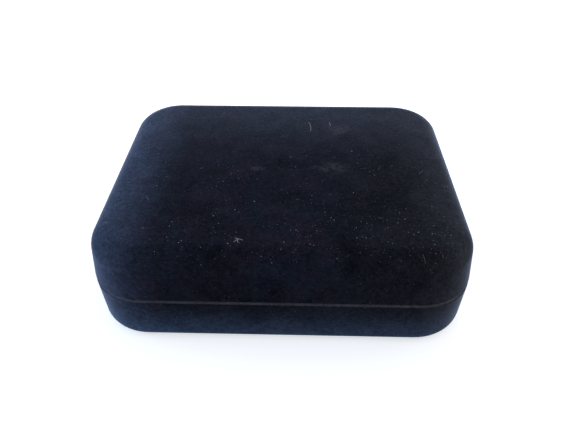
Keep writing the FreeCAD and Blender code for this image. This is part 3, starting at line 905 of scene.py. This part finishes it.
# %% Dress the pieces of the CAD model
finishes = {
    "velvet": navy_velvet,
    "moulded_shell": shell_finish(),
    "gilt_brass": gilt_finish(),
    "spring_steel": steel_finish(),
    "card": card_finish(),
    "tray_flock": flock_finish(),
    "satin": satin_finish(),
}
finishes["wadding"] = finishes["satin"]
for subpart in frame["record"]["subparts"]:
    dress(frame["nodes"][subpart["node"]], finishes[subpart["material_slot"]])
dress(frame["nodes"]["tray_board"], finishes["tray_flock"])
dress(tray, finishes["tray_flock"])
dress(pad, finishes["satin"])
print("finishes:", len(finishes))

# %% [markdown]
# ## Floor, light and camera
#
# The case lies on a white table in even light. The floor is a large white plane; what the camera sees of
# it is lifted a little, so that it reads as white while the shadow under the case stays. The sky is a
# little cooler on the left than on the right. A large lamp could light the pile too, but it would wash
# the shadow out, so three small low lamps graze the case from behind and from its sides.

# %% Floor
WHITE = (1, 1, 1)
BLACK = (0, 0, 0)
FLOOR_SIZE = 6
FLOOR_DROP = 0.02 * MM       # keeps the floor from flickering through the underside
FLOOR_LIFT = 0.55
SEEN_RAYS = ("Is Camera Ray", "Is Glossy Ray", "Is Transmission Ray")


def seen_directly(tree):
    """1 for what the camera sees, also in metal or glass, and 0 for the light that falls on surfaces."""
    outputs = Wire(tree).node("LightPath").socket.node.outputs
    camera_ray, glossy_ray, glass_ray = (Wire(tree, outputs[name]) for name in SEEN_RAYS)
    return camera_ray.math("MAXIMUM", glossy_ray).math("MAXIMUM", glass_ray)


def floor_finish():
    material, _, shader = new_finish("white_table")
    set_shader(shader, base_color=(0.85, 0.87, 0.90), roughness=0.9, specular_ior_level=0.0,
               emission_color=seen_directly(material.node_tree).mix(BLACK, WHITE),
               emission_strength=FLOOR_LIFT)
    return material


bpy.ops.object.select_all(action="DESELECT")
bpy.ops.mesh.primitive_plane_add(size=FLOOR_SIZE, location=(0, 0, -FLOOR_DROP))
floor = bpy.context.active_object
floor.name = "floor"
dress(floor, floor_finish())
print("floor:", FLOOR_SIZE, "m across")

# %% World and lamps
SKY_LEFT = (0.56, 0.70, 0.88)
SKY_RIGHT = (0.80, 0.74, 0.68)
CASE_MIDDLE = (0, 0, 15 * MM)

scene = bpy.context.scene
scene.view_settings.view_transform = "Standard"
world = bpy.data.worlds.new("studio")
scene.world = world
world.use_nodes = True
sky = Wire(world.node_tree).node("TexCoord").axis(0).step(-1, 1).mix(SKY_LEFT, SKY_RIGHT)
color = seen_directly(world.node_tree).mix(sky, WHITE)
world.node_tree.links.new(color.socket, world.node_tree.nodes["Background"].inputs["Color"])


def add_lamp(name, place, aim, size, power, color):
    """A square soft light that faces a point."""
    bpy.ops.object.select_all(action="DESELECT")
    turn = (Vector(place) - Vector(aim)).to_track_quat("Z", "Y").to_euler()
    bpy.ops.object.light_add(type="AREA", location=place, rotation=turn)
    lamp = bpy.context.active_object
    lamp.name = name
    lamp.data.size = size
    lamp.data.energy = power
    lamp.data.color = color
    lamp.visible_camera = False


add_lamp("back_light", (0.02, 0.19, 0.09), CASE_MIDDLE, 0.12, 0.24, (0.84, 0.93, 1.0))
add_lamp("left_light", (-0.25, 0.0, 0.05), CASE_MIDDLE, 0.08, 0.15, (0.72, 0.86, 1.0))
add_lamp("right_light", (0.25, 0.02, 0.05), CASE_MIDDLE, 0.08, 0.05, (1.0, 0.97, 0.94))

# %% [markdown]
# ## Camera
#
# The camera was matched to the photograph's outline: how far away it stands, how high it looks from, and
# where the case sits in the picture. The picture is 570 pixels wide.

# %% Camera
PICTURE_WIDTH = 570
FOCAL_PIXELS = 534.1
AZIMUTH = math.radians(1.62)
ELEVATION = math.radians(40.21)
ROLL = math.radians(-0.213)
DISTANCE = 182.1 * MM
MIDDLE_RIGHT = -0.27 * MM     # where the frame's origin lies from the middle of the picture
MIDDLE_UP = -8.66 * MM

back = Vector((math.sin(AZIMUTH) * math.cos(ELEVATION), -math.cos(AZIMUTH) * math.cos(ELEVATION),
               math.sin(ELEVATION)))
level_right = Vector((math.cos(AZIMUTH), math.sin(AZIMUTH), 0))
level_up = back.cross(level_right)
right = math.cos(ROLL) * level_right + math.sin(ROLL) * level_up
up = math.cos(ROLL) * level_up - math.sin(ROLL) * level_right
camera_place = DISTANCE * back - MIDDLE_RIGHT * right - MIDDLE_UP * up

bpy.ops.object.camera_add(location=camera_place)
camera = bpy.context.active_object
camera.name = "photo_camera"
camera.rotation_euler = Matrix((right, up, back)).transposed().to_euler()
camera.data.sensor_width = 36
camera.data.lens = camera.data.sensor_width * FOCAL_PIXELS / PICTURE_WIDTH
camera.data.clip_start = 0.01
scene.camera = camera
print(f"camera at {[round(v / MM, 1) for v in camera_place]} mm, lens {camera.data.lens:.1f} mm")
